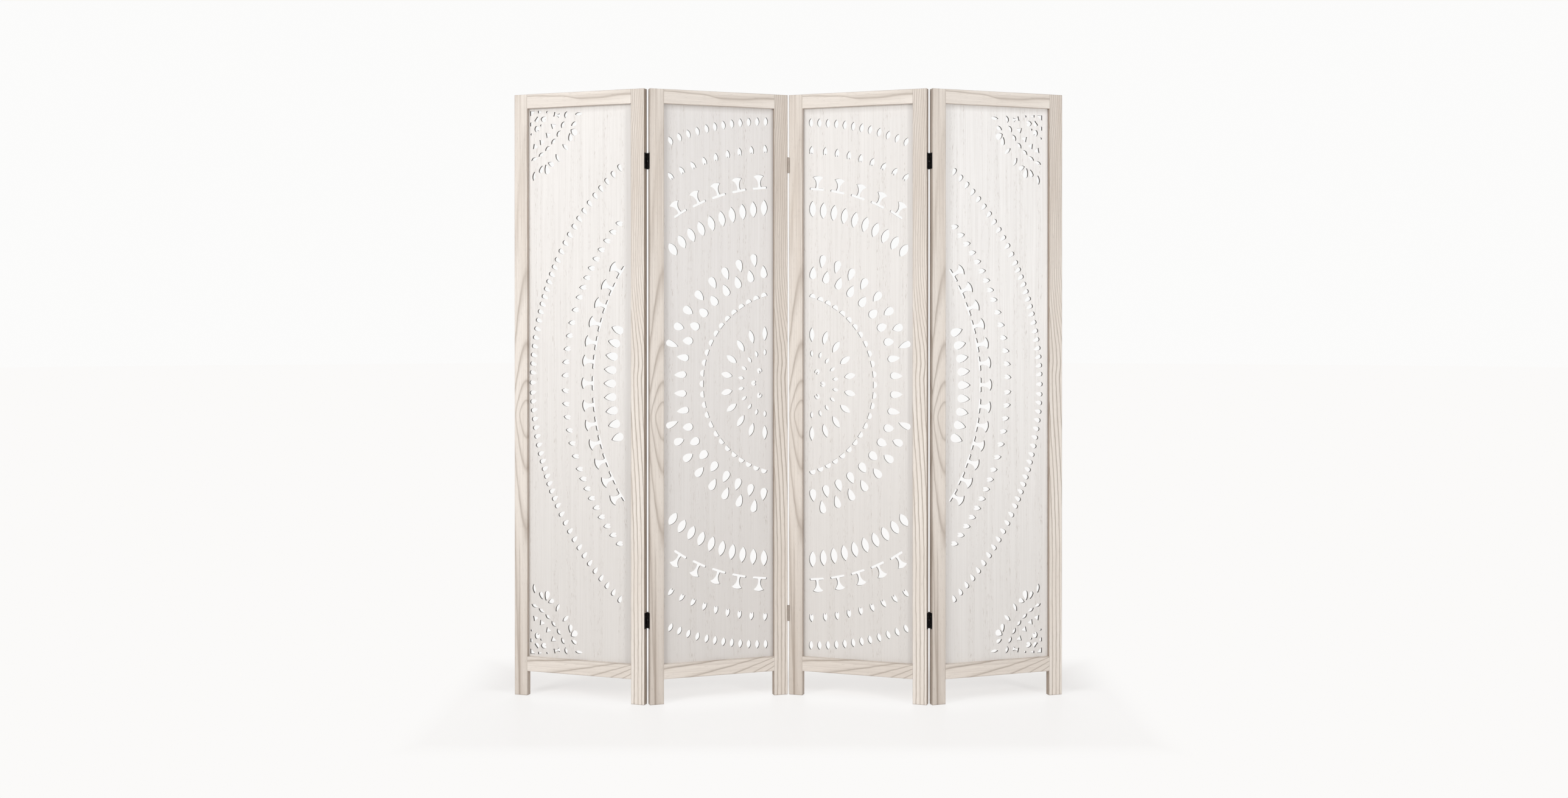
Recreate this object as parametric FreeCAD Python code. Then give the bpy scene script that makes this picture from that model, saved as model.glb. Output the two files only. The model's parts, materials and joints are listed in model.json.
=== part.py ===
import FreeCAD, Part
import math
import os

# Folding screen of four equal framed leaves that stands in a zigzag.
# Each leaf is two tall stiles, a top rail and a bottom rail with dowelled joints, round a thin
# panel with a cut-out ornament. The stiles run past the bottom rail and end in plain feet.
# Unfolded, the four panels show one large round ornament with a corner ornament in each corner.
# The two outer joints stand out towards the viewer and turn on the leaves' back faces.
# The middle joint stands back and turns on the front faces. Each joint has two hinges.
# Millimetres and degrees. Z is up, X runs from leaf 1 to leaf 4, and the viewer is at -Y.
# The origin is at the bottom centre of the box round the whole screen.

# Frame of one leaf
LEAF_W = 400.0
LEAF_H = 1700.0
LEAF_T = 19.0
STILE_W = 40.0
TOP_RAIL_H = 40.0
BOTTOM_RAIL_H = 41.0
FOOT_H = 69.0
EDGE_R = 1.0
CUT_OVERRUN = 2.0

# How far each leaf is turned out of the screen's long line as it stands
FOLD_ANGLE = 18.4

# Panel and its groove
PANEL_T = 6.0
PANEL_RECESS = 10.0
TONGUE = 8.0
TONGUE_PLAY = 0.3
GROOVE_PLAY = 0.1
LEAST_WEB = 1.0
LEAST_BORDER = 1.0

# Dowels between rail and stile, placed from the rail's outer edge
DOWEL_R = 4.0
DOWEL_L = 30.0
DOWEL_PLAY = 0.05
DOWEL_END_PLAY = 0.3
DOWEL_INSET = 9.5
DOWEL_PITCH = 13.0

# Hinges
JOINT_GAP = 2.2
AXIS_OFFSET = 2.4
HINGE_H = 44.2
TOP_HINGE_DROP = 199.0
BOTTOM_HINGE_RISE = 231.5
PLATE_T = 1.0
PLATE_DEPTH = 18.0
PLATE_SETBACK = 0.3
KNUCKLE_R = 2.3
KNUCKLE_GAP = 1.0
PIN_R = 0.9
PIN_PLAY = 0.05
PIN_HEAD_R = 1.6
PIN_HEAD_H = 0.7
PIN_END_PLAY = 0.1

# Countersunk screws of the hinge plates
SCREW_INSET = 9.0
SCREW_PITCH = 22.0
SCREW_R = 1.4
SCREW_HEAD_R = 2.3
SCREW_SHANK_L = 12.0
SCREW_TIP_L = 3.0
SCREW_TIP_R = 0.2
SCREW_PLAY = 0.05
RECESS_L = 2.6
RECESS_W = 0.5
RECESS_DEPTH = 0.5

# Height of the ornament's centre above the middle of the opening, leaf by leaf
LEAF_1_RISE = 0.2
LEAF_2_RISE = -1.0
LEAF_3_RISE = -4.3
LEAF_4_RISE = -4.3

# The ornament of leaf 1 lies a little further out and is a little larger than that of leaf 4
LEAF_1_SHIFT = 6.0
LEAF_1_WIDEN_SHARE = 1.0235
LEAF_1_HEIGHTEN_SHARE = 1.011

# Each ring of the ornament has its centre at a distance outwards from the leaf's inner edge,
# the edge nearer the screen's middle. The tables run from the highest hole of the upper half to
# the lowest, and the lower half is its mirror image. Each row is a value and how many steps lead
# to it from the row before, in equal parts. Angles are above the horizontal, a tilt turns a hole
# upright from its own radius, and both are shares of a right angle.
RIGHT_ANGLE = 90.0

# Inner leaves, outermost ring: slim pointed ovals
OVAL_CENTRE = 36.6
OVAL_RING_R = 739.5
OVAL_L = 25.0
OVAL_W = 12.5
OVAL_ANGLE_SHARES = ((0.978, 0), (0.827, 7), (0.732, 4))
OVAL_TILT_SHARES = ((0.067, 0), (0.056, 6), (0.0, 5))

# Inner leaves: buds with a notch in the foot
BUD_CENTRE = 10.6
BUD_RING_R = 664.3
BUD_L = 22.5
BUD_W = 13.0
BUD_NOTCH = 4.0
BUD_ANGLE_SHARES = ((0.949, 0), (0.91, 1), (0.671, 7))
BUD_TILT_SHARES = ((0.022, 0), (0.144, 4), (-0.089, 2), (-0.089, 2))

# Inner leaves: axe shapes standing on a bar
AXE_CENTRE = 24.0
AXE_RING_R = 571.0
AXE_L = 41.0
AXE_BAR_L = 42.0
AXE_BAR_W = 6.5
AXE_STEM_W = 8.0
AXE_FOOT_W = 10.5
AXE_HEAD_W = 31.0
AXE_HEAD_RISE = 5.0
AXE_ANGLE_SHARES = ((0.936, 0), (0.653, 4))
AXE_TILT_SHARES = ((0.0, 0), (-0.022, 4))

# Inner leaves: large lens shapes
LENS_CENTRE = 1.2
LENS_RING_R = 499.5
LENS_L = 46.0
LENS_W = 20.0
LENS_ANGLE_SHARES = ((0.916, 0), (0.752, 4), (0.539, 5))
LENS_TILT_SHARES = ((0.1, 0), (0.111, 5), (0.089, 4))
LENS_LENGTH_SHARES = ((1.0, 0), (0.98, 4), (0.87, 5))
LENS_WIDTH_SHARES = ((1.0, 0), (1.0, 4), (1.08, 5))

# Inner leaves: outer ring of drops that point inwards
OUTER_DROP_CENTRE = -11.0
OUTER_DROP_RING_R = 362.3
OUTER_DROP_L = 37.0
OUTER_DROP_W = 19.5
OUTER_DROP_ANGLE_SHARES = ((0.809, 0), (0.567, 3), (0.381, 2), (0.198, 2))
OUTER_DROP_TILT_SHARES = ((0.078, 0), (0.111, 3), (-0.089, 3), (0.044, 1))
OUTER_DROP_LENGTH_SHARES = ((1.0, 0), (0.98, 2), (0.84, 4), (1.0, 1))
OUTER_DROP_WIDTH_SHARES = ((1.0, 0), (1.14, 5), (1.1, 1), (0.92, 1))

# Inner leaves: inner ring of drops that point outwards
INNER_DROP_CENTRE = -12.8
INNER_DROP_RING_R = 325.0
INNER_DROP_L = 36.0
INNER_DROP_W = 20.5
INNER_DROP_ANGLE_SHARES = ((0.84, 0), (0.597, 3), (0.241, 4), (0.051, 2))
INNER_DROP_TILT_SHARES = ((0.111, 0), (0.133, 4), (-0.2, 3), (-0.056, 1), (-0.078, 1))
INNER_DROP_LENGTH_SHARES = ((1.0, 0), (0.97, 3), (0.82, 2), (0.84, 2), (1.0, 1), (1.0, 1))
INNER_DROP_WIDTH_SHARES = ((1.0, 0), (1.02, 3), (1.16, 2), (1.08, 2), (0.93, 1), (0.93, 1))

# Inner leaves: ring of half-round beads
BEAD_CENTRE = -12.2
BEAD_RING_R = 262.2
BEAD_L = 19.0
BEAD_H = 12.0
BEAD_ANGLE_SHARES = ((0.803, 0), (0.621, 3), (0.363, 4), (0.0, 5))

# Inner leaves: flower of long petals
PETAL_CENTRE = 25.4
PETAL_RING_R = 153.0
PETAL_L = 41.0
PETAL_W = 15.0
PETAL_ANGLE_SHARES = ((0.826, 0), (0.486, 2), (0.101, 2))
PETAL_TILT_SHARES = ((0.178, 0), (0.15, 2), (0.044, 2))
PETAL_RADIUS_SHARES = ((0.95, 0), (1.0, 1), (1.0, 3))
PETAL_LENGTH_SHARES = ((1.0, 0), (0.94, 2), (0.83, 2))
PETAL_WIDTH_SHARES = ((1.0, 0), (1.1, 2), (1.12, 2))

# Inner leaves: small petals inside the flower
SEED_CENTRE = 39.7
SEED_RING_R = 96.0
SEED_L = 18.0
SEED_W = 9.5
SEED_ANGLE_SHARES = ((0.824, 0), (0.483, 2), (0.1, 2))
SEED_TILT_SHARES = ((0.189, 0), (0.133, 2), (0.0, 2))
SEED_RADIUS_SHARES = ((0.94, 0), (1.0, 1), (1.0, 3))

# Inner leaves: hearts round the middle
HEART_CENTRE = 52.7
HEART_RING_R = 45.4
HEART_L = 15.0
HEART_W = 15.0
HEART_NOTCH = 6.5
HEART_ANGLE_SHARES = ((0.572, 0), (0.0, 1))

# Outer leaves, outermost ring: drops that point inwards
FAR_DROP_CENTRE = -465.2
FAR_DROP_RING_R = 798.0
FAR_DROP_L = 22.5
FAR_DROP_W = 12.5
FAR_DROP_ANGLE_SHARES = ((0.532, 0), (0.281, 12), (0.159, 7), (0.022, 7), (0.0, 1))
FAR_DROP_TILT_SHARES = ((0.2, 0), (0.1, 6), (0.1, 7), (0.122, 13), (0.0, 1))

# Outer leaves: notched buds that lie nearly level
FAR_BUD_CENTRE = -441.0
FAR_BUD_RING_R = 676.2
FAR_BUD_L = 22.5
FAR_BUD_W = 13.5
FAR_BUD_ANGLE_SHARES = ((0.451, 0), (0.367, 3), (0.229, 5), (0.02, 6))
FAR_BUD_TILT_SHARES = ((-0.344, 0), (-0.211, 4), (-0.267, 3), (-0.133, 7))

# Outer leaves: axe shapes
FAR_AXE_CENTRE = -451.8
FAR_AXE_RING_R = 618.5
FAR_AXE_L = 39.5
FAR_AXE_BAR_L = 41.0
FAR_AXE_BAR_W = 7.0
FAR_AXE_STEM_W = 9.5
FAR_AXE_FOOT_W = 12.0
FAR_AXE_HEAD_W = 34.0
FAR_AXE_HEAD_RISE = 6.0
FAR_AXE_ANGLE_SHARES = ((0.339, 0), (0.063, 5), (0.0, 1))
FAR_AXE_TILT_SHARES = ((0.033, 0), (0.0, 6))

# Outer leaves: large drops that point outwards
FAR_LENS_CENTRE = -397.1
FAR_LENS_RING_R = 497.6
FAR_LENS_L = 38.5
FAR_LENS_W = 23.0
FAR_LENS_ANGLE_SHARES = ((0.193, 0), (0.0, 4))
FAR_LENS_TILT_SHARES = ((0.039, 0), (0.0, 4))

# Outline shares of the buds, hearts and beads, along and across the hole from its middle
BUD_BELLY_SHARES = (-0.05, 0.5)
BUD_LOBE_SHARES = (-0.38, 0.42)
BUD_TOE_SHARES = (-0.5, 0.24)
BUD_HEEL_SHARES = (-0.42, 0.09)
BEAD_CHORD_SHARE = 0.94
STEM_PLACE_SHARE = 0.3

# Corner ornament of the outer leaves: quarter rings round a point near the panel's corner,
# drawn in sideways. The point is given from the leaf's outer edge and the opening's bottom edge.
CORNER_IN = 56.5
CORNER_UP = 10.5
CORNER_SQUEEZE_SHARE = 0.82

# Rows are: angle above the horizontal, share of the ring's radius, the hole's own direction,
# share of the length, share of the width
CORNER_LEAF_RING_R = 170.0
CORNER_LEAF_L = 25.0
CORNER_LEAF_W = 12.0
CORNER_SLIM_SHARES = (
    (84.8, 1.08, 97.0, 1.08, 0.8),
    (52.0, 1.0, 63.0, 1.04, 0.8),
    (38.0, 1.0, 41.0, 1.0, 0.85),
    (4.4, 1.08, -3.0, 0.92, 0.75),
)
CORNER_FULL_SHARES = (
    (75.0, 1.0, 107.0, 0.9, 1.05),
    (68.6, 1.04, 77.0, 1.16, 1.35),
    (62.0, 1.0, 25.0, 0.8, 1.1),
    (27.0, 1.0, 84.0, 0.96, 1.1),
    (21.0, 1.04, 33.0, 0.96, 1.5),
    (14.3, 1.0, -26.0, 0.74, 1.0),
)

MOON_RING_R = 125.0
MOON_L = 21.0
MOON_H = 10.0
MOON_DOME_L = 9.0
MOON_DOME_RISE = 3.0
MOON_SHARES = (
    (82.5, 1.09, 72.0),
    (70.3, 1.045, 62.0),
    (57.4, 1.01, 53.0),
    (44.3, 1.0, 42.0),
    (31.4, 1.015, 33.0),
    (18.7, 1.045, 25.0),
    (6.3, 1.09, 14.0),
)

WEDGE_RING_R = 100.0
WEDGE_L = 14.0
WEDGE_W = 16.0
WEDGE_TIP_W = 3.0
WEDGE_SHARES = (
    (77.5, 1.03, 11.0),
    (62.0, 1.0, -8.0),
    (44.2, 0.985, -13.0),
    (25.9, 1.0, -18.0),
)

SMALL_AXE_R = 103.0
SMALL_AXE_ANGLE = 8.0
SMALL_AXE_OWN_ANGLE = 16.0
SMALL_AXE_L = 19.0
SMALL_AXE_BAR_L = 14.0
SMALL_AXE_BAR_W = 3.0
SMALL_AXE_STEM_W = 3.6
SMALL_AXE_FOOT_W = 4.5
SMALL_AXE_HEAD_W = 13.5
SMALL_AXE_HEAD_RISE = 2.5

DOT_RING_R = 66.0
DOT_R = 3.0
DOT_SHARES = ((4.6, 1.0), (44.0, 0.91), (84.0, 1.0))

CORNER_HEART_RING_R = 57.5
CORNER_HEART_L = 17.0
CORNER_HEART_W = 16.0
CORNER_HEART_NOTCH = 5.0
CORNER_HEART_SHARES = ((61.3, 1.0, 248.0), (25.5, 1.0, 186.0))

KITE_R = 38.0
KITE_ANGLE = 41.2
KITE_OWN_ANGLE = 38.0
KITE_L = 16.0
KITE_H = 11.0

CHIP_R = 38.0
CHIP_LOW_ANGLE = 5.3
CHIP_HIGH_ANGLE = 80.0
CHIP_L = 11.0
CHIP_W = 7.5

CORNER_TRIANGLE_LEG = 15.0
CORNER_TRIANGLE_START = 2.0
TRIANGLE_BULGE_SHARE = 0.56


def vec(x, y, z=0.0):
    return FreeCAD.Vector(x, y, z)


def box_between(a, b):
    low = vec(min(a.x, b.x), min(a.y, b.y), min(a.z, b.z))
    size = vec(abs(a.x - b.x), abs(a.y - b.y), abs(a.z - b.z))
    return Part.makeBox(size.x, size.y, size.z, low)


# A leaf is drawn flat: X from its left edge, Y from its front face to its back face, Z up.
# These are the heights that its pieces share.
OPENING_LOW = FOOT_H + BOTTOM_RAIL_H
OPENING_HIGH = LEAF_H - TOP_RAIL_H
OPENING_MIDDLE = (OPENING_LOW + OPENING_HIGH) / 2
GROOVE_DEPTH = TONGUE + TONGUE_PLAY
GROOVE_FRONT = PANEL_RECESS - GROOVE_PLAY
GROOVE_BACK = PANEL_RECESS + PANEL_T + GROOVE_PLAY
HINGE_LEVELS = {"top": LEAF_H - TOP_HINGE_DROP, "bottom": BOTTOM_HINGE_RISE}


class Edge:
    """One upright edge of a leaf: where it is, which way is out, and its hinge axis if any."""

    def __init__(self, side, face=None):
        self.at = 0.0 if side == "left" else LEAF_W
        self.out = -1 if side == "left" else 1
        self.face = face
        self.face_y = LEAF_T if face == "back" else 0.0
        self.away = 1 if face == "back" else -1

    def axis(self):
        return vec(self.at + self.out * JOINT_GAP / 2, self.face_y + self.away * AXIS_OFFSET)

    def screw_y(self):
        return self.face_y - self.away * SCREW_INSET


def screw_levels(level):
    return (level - SCREW_PITCH / 2, level + SCREW_PITCH / 2)


def dowel_levels():
    low = FOOT_H + DOWEL_INSET
    high = LEAF_H - DOWEL_INSET
    return (low, low + DOWEL_PITCH, high - DOWEL_PITCH, high)


def dowel_hole(joint_x, level):
    """Hole for one dowel, through the plane where the rail's end meets the stile."""
    half = DOWEL_L / 2 + DOWEL_END_PLAY
    start = vec(joint_x - half, LEAF_T / 2, level)
    return Part.makeCylinder(DOWEL_R + DOWEL_PLAY, half + half, start, vec(1, 0))


def stile(edge):
    """Stile with its softened edges, panel groove, dowel holes and the hinge screws' holes."""
    inner = edge.at - edge.out * STILE_W
    blank = box_between(vec(edge.at, 0), vec(inner, LEAF_T, LEAF_H))
    body = blank.makeFillet(EDGE_R, blank.Edges)
    groove = box_between(
        vec(inner - edge.out * CUT_OVERRUN, GROOVE_FRONT, OPENING_LOW - GROOVE_DEPTH),
        vec(inner + edge.out * GROOVE_DEPTH, GROOVE_BACK, OPENING_HIGH + GROOVE_DEPTH))
    cuts = [groove]
    for level in dowel_levels():
        cuts.append(dowel_hole(inner, level))
    if edge.face:
        depth = SCREW_SHANK_L + SCREW_TIP_L + CUT_OVERRUN
        for hinge_level in HINGE_LEVELS.values():
            for level in screw_levels(hinge_level):
                start = vec(edge.at + edge.out * CUT_OVERRUN, edge.screw_y(), level)
                cuts.append(Part.makeCylinder(SCREW_R + SCREW_PLAY, depth, start, vec(-edge.out, 0)))
    return body.cut(cuts)


def rail(low, high, groove_edge, groove_in):
    """Rail between the stiles, with the panel groove along one edge and dowel holes in its ends."""
    blank = box_between(vec(STILE_W, 0, low), vec(LEAF_W - STILE_W, LEAF_T, high))
    long_edges = [e for e in blank.Edges if abs(e.BoundBox.XLength - (LEAF_W - STILE_W - STILE_W)) < EDGE_R]
    body = blank.makeFillet(EDGE_R, long_edges)
    groove = box_between(
        vec(STILE_W - CUT_OVERRUN, GROOVE_FRONT, groove_edge - groove_in * CUT_OVERRUN),
        vec(LEAF_W - STILE_W + CUT_OVERRUN, GROOVE_BACK, groove_edge + groove_in * GROOVE_DEPTH))
    cuts = [groove]
    for level in dowel_levels():
        if low < level < high:
            cuts += [dowel_hole(STILE_W, level), dowel_hole(LEAF_W - STILE_W, level)]
    return body.cut(cuts)


def dowels():
    pins = []
    for joint_x in (STILE_W, LEAF_W - STILE_W):
        for level in dowel_levels():
            start = vec(joint_x - DOWEL_L / 2, LEAF_T / 2, level)
            pins.append(Part.makeCylinder(DOWEL_R, DOWEL_L, start, vec(1, 0)))
    return Part.makeCompound(pins)


# Hole outlines. Each is a start point and a list of pieces, along and across the hole from its
# middle. A piece that is one point is a straight line, a piece of two points is an arc.

def lens(length, width):
    return (-length / 2, 0), [((0, width / 2), (length / 2, 0)), ((0, -width / 2), (-length / 2, 0))]


def drop(length, width):
    """Pointed at the outer end, half round at the other, with full sides."""
    half = width / 2
    belly = half - length / 2
    reach = length / 2 - belly
    side_r = (reach * reach + half * half) / width
    lean = math.asin(reach / side_r) / 2
    mid = (belly + side_r * math.sin(lean), half - side_r + side_r * math.cos(lean))
    tip = (length / 2, 0)
    return tip, [
        (mid, (belly, half)),
        ((-length / 2, 0), (belly, -half)),
        ((mid[0], -mid[1]), tip)]


def changed(outline, change):
    """The outline with every point changed alike."""
    start, pieces = outline
    return change(start), [tuple(map(change, p)) if isinstance(p[0], tuple) else change(p) for p in pieces]


def backward(outline):
    """The same outline pointing the other way."""
    return changed(outline, lambda point: (-point[0], -point[1]))


def mirrored(outline):
    """The same outline with its two sides exchanged."""
    return changed(outline, lambda point: (point[0], -point[1]))


def bud(length, width, notch):
    """Pointed at the outer end, with two round lobes and a notch at the other."""
    belly, lobe, toe, heel = (
        (along * length, across * width)
        for along, across in (BUD_BELLY_SHARES, BUD_LOBE_SHARES, BUD_TOE_SHARES, BUD_HEEL_SHARES))
    tip = (length / 2, 0)
    return tip, [
        (belly, lobe),
        (toe, heel),
        (notch - length / 2, 0),
        (heel[0], -heel[1]),
        ((toe[0], -toe[1]), (lobe[0], -lobe[1])),
        ((belly[0], -belly[1]), tip)]


def axe(length, bar_l, bar_w, stem_w, foot_w, head_w, head_rise):
    """Round-ended bar at the inner end, waisted stem, and a broad head with a bowed outer edge."""
    back = -length / 2
    top = back + bar_w
    end = bar_l / 2 - bar_w / 2
    corner = (length / 2 - head_rise, head_w / 2)
    waist = (top + STEM_PLACE_SHARE * (corner[0] - top), stem_w / 2)
    return (back, -end), [
        (back, end),
        ((back + bar_w / 2, bar_l / 2), (top, end)),
        (top, foot_w / 2),
        (waist, corner),
        ((length / 2, 0), (corner[0], -corner[1])),
        ((waist[0], -waist[1]), (top, -foot_w / 2)),
        (top, -end),
        ((back + bar_w / 2, -bar_l / 2), (back, -end))]


def bead(length, height):
    """Half-round, with its flat side inwards."""
    chord = BEAD_CHORD_SHARE * length / 2
    return (-height / 2, -chord), [(-height / 2, chord), ((height / 2, 0), (-height / 2, -chord))]


def moon():
    """Bowed towards the corner, with a small dome on the straight outer side."""
    edge = MOON_H / 2 - MOON_DOME_RISE
    half = MOON_DOME_L / 2
    return (edge, -MOON_L / 2), [
        ((-MOON_H / 2, 0), (edge, MOON_L / 2)),
        (edge, half),
        ((MOON_H / 2, 0), (edge, -half)),
        (edge, -MOON_L / 2)]


def wedge(length, width, tip_w):
    """Triangle with its broad side inwards and a small flat at its tip."""
    return (-length / 2, -width / 2), [
        (-length / 2, width / 2),
        (length / 2, tip_w / 2),
        (length / 2, -tip_w / 2),
        (-length / 2, -width / 2)]


def corner_triangle():
    leg = CORNER_TRIANGLE_LEG
    bulge = TRIANGLE_BULGE_SHARE * leg
    return (0, 0), [(leg, 0), ((bulge, bulge), (0, leg)), (0, 0)]


# A hole of the ornament is (outwards, height, direction, outline). Outwards is from the leaf's
# inner edge, height is from the ornament's centre, and the direction is above the horizontal.

def spread(table):
    """Values of a table of (value, steps from the row before), one for each hole."""
    values = [table[0][0]]
    for value, steps in table[1:]:
        start = values[-1]
        values += [start + (value - start) * i / steps for i in range(1, steps + 1)]
    return values


def ring(centre, radius, shape, angles, tilts=None, lengths=None, widths=None, radii=None):
    """Holes of one ring, in the upper half and mirrored in the lower half."""
    angles = [RIGHT_ANGLE * share for share in spread(angles)]
    count = len(angles)
    tilts = [RIGHT_ANGLE * share for share in spread(tilts)] if tilts else [0.0] * count
    lengths, widths, radii = (spread(t) if t else [1.0] * count for t in (lengths, widths, radii))
    holes = []
    for angle, tilt, length, width, radius_share in zip(angles, tilts, lengths, widths, radii):
        out = centre + radius * radius_share * math.cos(math.radians(angle))
        up = radius * radius_share * math.sin(math.radians(angle))
        outline = shape(length, width)
        if angle == 0:
            holes.append((out, 0.0, 0.0, outline))
        else:
            holes += [(out, up, angle + tilt, outline), (out, -up, -angle - tilt, outline)]
    return holes


def inner_ornament():
    def slim(length, width):
        return lens(OVAL_L * length, OVAL_W * width)

    def notched(length, width):
        return bud(BUD_L * length, BUD_W * width, BUD_NOTCH)

    def axe_shape(length, width):
        return axe(AXE_L * length, AXE_BAR_L, AXE_BAR_W, AXE_STEM_W, AXE_FOOT_W,
                   AXE_HEAD_W * width, AXE_HEAD_RISE)

    def large(length, width):
        return lens(LENS_L * length, LENS_W * width)

    def drop_in(length, width):
        return backward(drop(OUTER_DROP_L * length, OUTER_DROP_W * width))

    def drop_out(length, width):
        return drop(INNER_DROP_L * length, INNER_DROP_W * width)

    def half_round(length, width):
        return bead(BEAD_L * length, BEAD_H * width)

    def petal(length, width):
        return lens(PETAL_L * length, PETAL_W * width)

    def seed(length, width):
        return lens(SEED_L * length, SEED_W * width)

    def heart(length, width):
        return bud(HEART_L * length, HEART_W * width, HEART_NOTCH)

    holes = []
    holes += ring(OVAL_CENTRE, OVAL_RING_R, slim, OVAL_ANGLE_SHARES, OVAL_TILT_SHARES)
    holes += ring(BUD_CENTRE, BUD_RING_R, notched, BUD_ANGLE_SHARES, BUD_TILT_SHARES)
    holes += ring(AXE_CENTRE, AXE_RING_R, axe_shape, AXE_ANGLE_SHARES, AXE_TILT_SHARES)
    holes += ring(LENS_CENTRE, LENS_RING_R, large, LENS_ANGLE_SHARES, LENS_TILT_SHARES,
                  LENS_LENGTH_SHARES, LENS_WIDTH_SHARES)
    holes += ring(OUTER_DROP_CENTRE, OUTER_DROP_RING_R, drop_in, OUTER_DROP_ANGLE_SHARES,
                  OUTER_DROP_TILT_SHARES, OUTER_DROP_LENGTH_SHARES, OUTER_DROP_WIDTH_SHARES)
    holes += ring(INNER_DROP_CENTRE, INNER_DROP_RING_R, drop_out, INNER_DROP_ANGLE_SHARES,
                  INNER_DROP_TILT_SHARES, INNER_DROP_LENGTH_SHARES, INNER_DROP_WIDTH_SHARES)
    holes += ring(BEAD_CENTRE, BEAD_RING_R, half_round, BEAD_ANGLE_SHARES)
    holes += ring(PETAL_CENTRE, PETAL_RING_R, petal, PETAL_ANGLE_SHARES, PETAL_TILT_SHARES,
                  PETAL_LENGTH_SHARES, PETAL_WIDTH_SHARES, PETAL_RADIUS_SHARES)
    holes += ring(SEED_CENTRE, SEED_RING_R, seed, SEED_ANGLE_SHARES, SEED_TILT_SHARES,
                  radii=SEED_RADIUS_SHARES)
    holes += ring(HEART_CENTRE, HEART_RING_R, heart, HEART_ANGLE_SHARES)
    return holes


def corner_ornament():
    """Lower corner ornament, placed from its own point, inwards and up."""
    slim = [(a, CORNER_LEAF_RING_R * r, turn, lens(CORNER_LEAF_L * l, CORNER_LEAF_W * w))
            for a, r, turn, l, w in CORNER_SLIM_SHARES]
    full = [(a, CORNER_LEAF_RING_R * r, turn, backward(drop(CORNER_LEAF_L * l, CORNER_LEAF_W * w)))
            for a, r, turn, l, w in CORNER_FULL_SHARES]
    moons = [(a, MOON_RING_R * r, turn, moon()) for a, r, turn in MOON_SHARES]
    wedges = [(a, WEDGE_RING_R * r, turn, wedge(WEDGE_L, WEDGE_W, WEDGE_TIP_W))
              for a, r, turn in WEDGE_SHARES]
    small_axe = axe(SMALL_AXE_L, SMALL_AXE_BAR_L, SMALL_AXE_BAR_W, SMALL_AXE_STEM_W,
                    SMALL_AXE_FOOT_W, SMALL_AXE_HEAD_W, SMALL_AXE_HEAD_RISE)
    dots = [(a, DOT_RING_R * r, a, lens(DOT_R + DOT_R, DOT_R + DOT_R)) for a, r in DOT_SHARES]
    hearts = [(a, CORNER_HEART_RING_R * r, turn, bud(CORNER_HEART_L, CORNER_HEART_W, CORNER_HEART_NOTCH))
              for a, r, turn in CORNER_HEART_SHARES]
    rest = [
        (SMALL_AXE_ANGLE, SMALL_AXE_R, SMALL_AXE_OWN_ANGLE, small_axe),
        (KITE_ANGLE, KITE_R, KITE_OWN_ANGLE, bead(KITE_L, KITE_H)),
        (CHIP_LOW_ANGLE, CHIP_R, 0.0, wedge(CHIP_L, CHIP_W, WEDGE_TIP_W)),
        (CHIP_HIGH_ANGLE, CHIP_R, 0.0, bead(CHIP_L, CHIP_W)),
        (0.0, CORNER_TRIANGLE_START, 0.0, corner_triangle())]
    holes = []
    for angle, radius, turn, outline in slim + full + moons + wedges + dots + hearts + rest:
        inwards = CORNER_SQUEEZE_SHARE * radius * math.cos(math.radians(angle))
        holes.append((inwards, radius * math.sin(math.radians(angle)), turn, outline))
    return holes


def outer_ornament():
    def drop_in(length, width):
        return backward(drop(FAR_DROP_L * length, FAR_DROP_W * width))

    def notched(length, width):
        return bud(FAR_BUD_L * length, FAR_BUD_W * width, BUD_NOTCH)

    def axe_shape(length, width):
        return axe(FAR_AXE_L * length, FAR_AXE_BAR_L, FAR_AXE_BAR_W, FAR_AXE_STEM_W,
                   FAR_AXE_FOOT_W, FAR_AXE_HEAD_W * width, FAR_AXE_HEAD_RISE)

    def drop_out(length, width):
        return drop(FAR_LENS_L * length, FAR_LENS_W * width)

    holes = []
    holes += ring(FAR_DROP_CENTRE, FAR_DROP_RING_R, drop_in, FAR_DROP_ANGLE_SHARES, FAR_DROP_TILT_SHARES)
    holes += ring(FAR_BUD_CENTRE, FAR_BUD_RING_R, notched, FAR_BUD_ANGLE_SHARES, FAR_BUD_TILT_SHARES)
    holes += ring(FAR_AXE_CENTRE, FAR_AXE_RING_R, axe_shape, FAR_AXE_ANGLE_SHARES, FAR_AXE_TILT_SHARES)
    holes += ring(FAR_LENS_CENTRE, FAR_LENS_RING_R, drop_out, FAR_LENS_ANGLE_SHARES, FAR_LENS_TILT_SHARES)
    corner_out = LEAF_W - CORNER_IN
    corner_down = OPENING_MIDDLE + LEAF_4_RISE - OPENING_LOW - CORNER_UP
    turned_round = RIGHT_ANGLE + RIGHT_ANGLE
    for inwards, up, turn, outline in corner_ornament():
        holes.append((corner_out - inwards, up - corner_down, turned_round - turn, mirrored(outline)))
        holes.append((corner_out - inwards, corner_down - up, turn - turned_round, outline))
    return holes


def hole_wire(hole, to_leaf):
    """Closed wire of one hole on the panel's front face."""
    out, up, turn, (start, pieces) = hole
    c = math.cos(math.radians(turn))
    s = math.sin(math.radians(turn))

    def placed(point):
        along, across = point
        return to_leaf(out, up, along * c - across * s, along * s + across * c)

    edges = []
    here = placed(start)
    for piece in pieces:
        if isinstance(piece[0], tuple):
            middle, end = map(placed, piece)
            edges.append(Part.Arc(here, middle, end).toShape())
        else:
            end = placed(piece)
            edges.append(Part.LineSegment(here, end).toShape())
        here = end
    return Part.Wire(edges)


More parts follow.
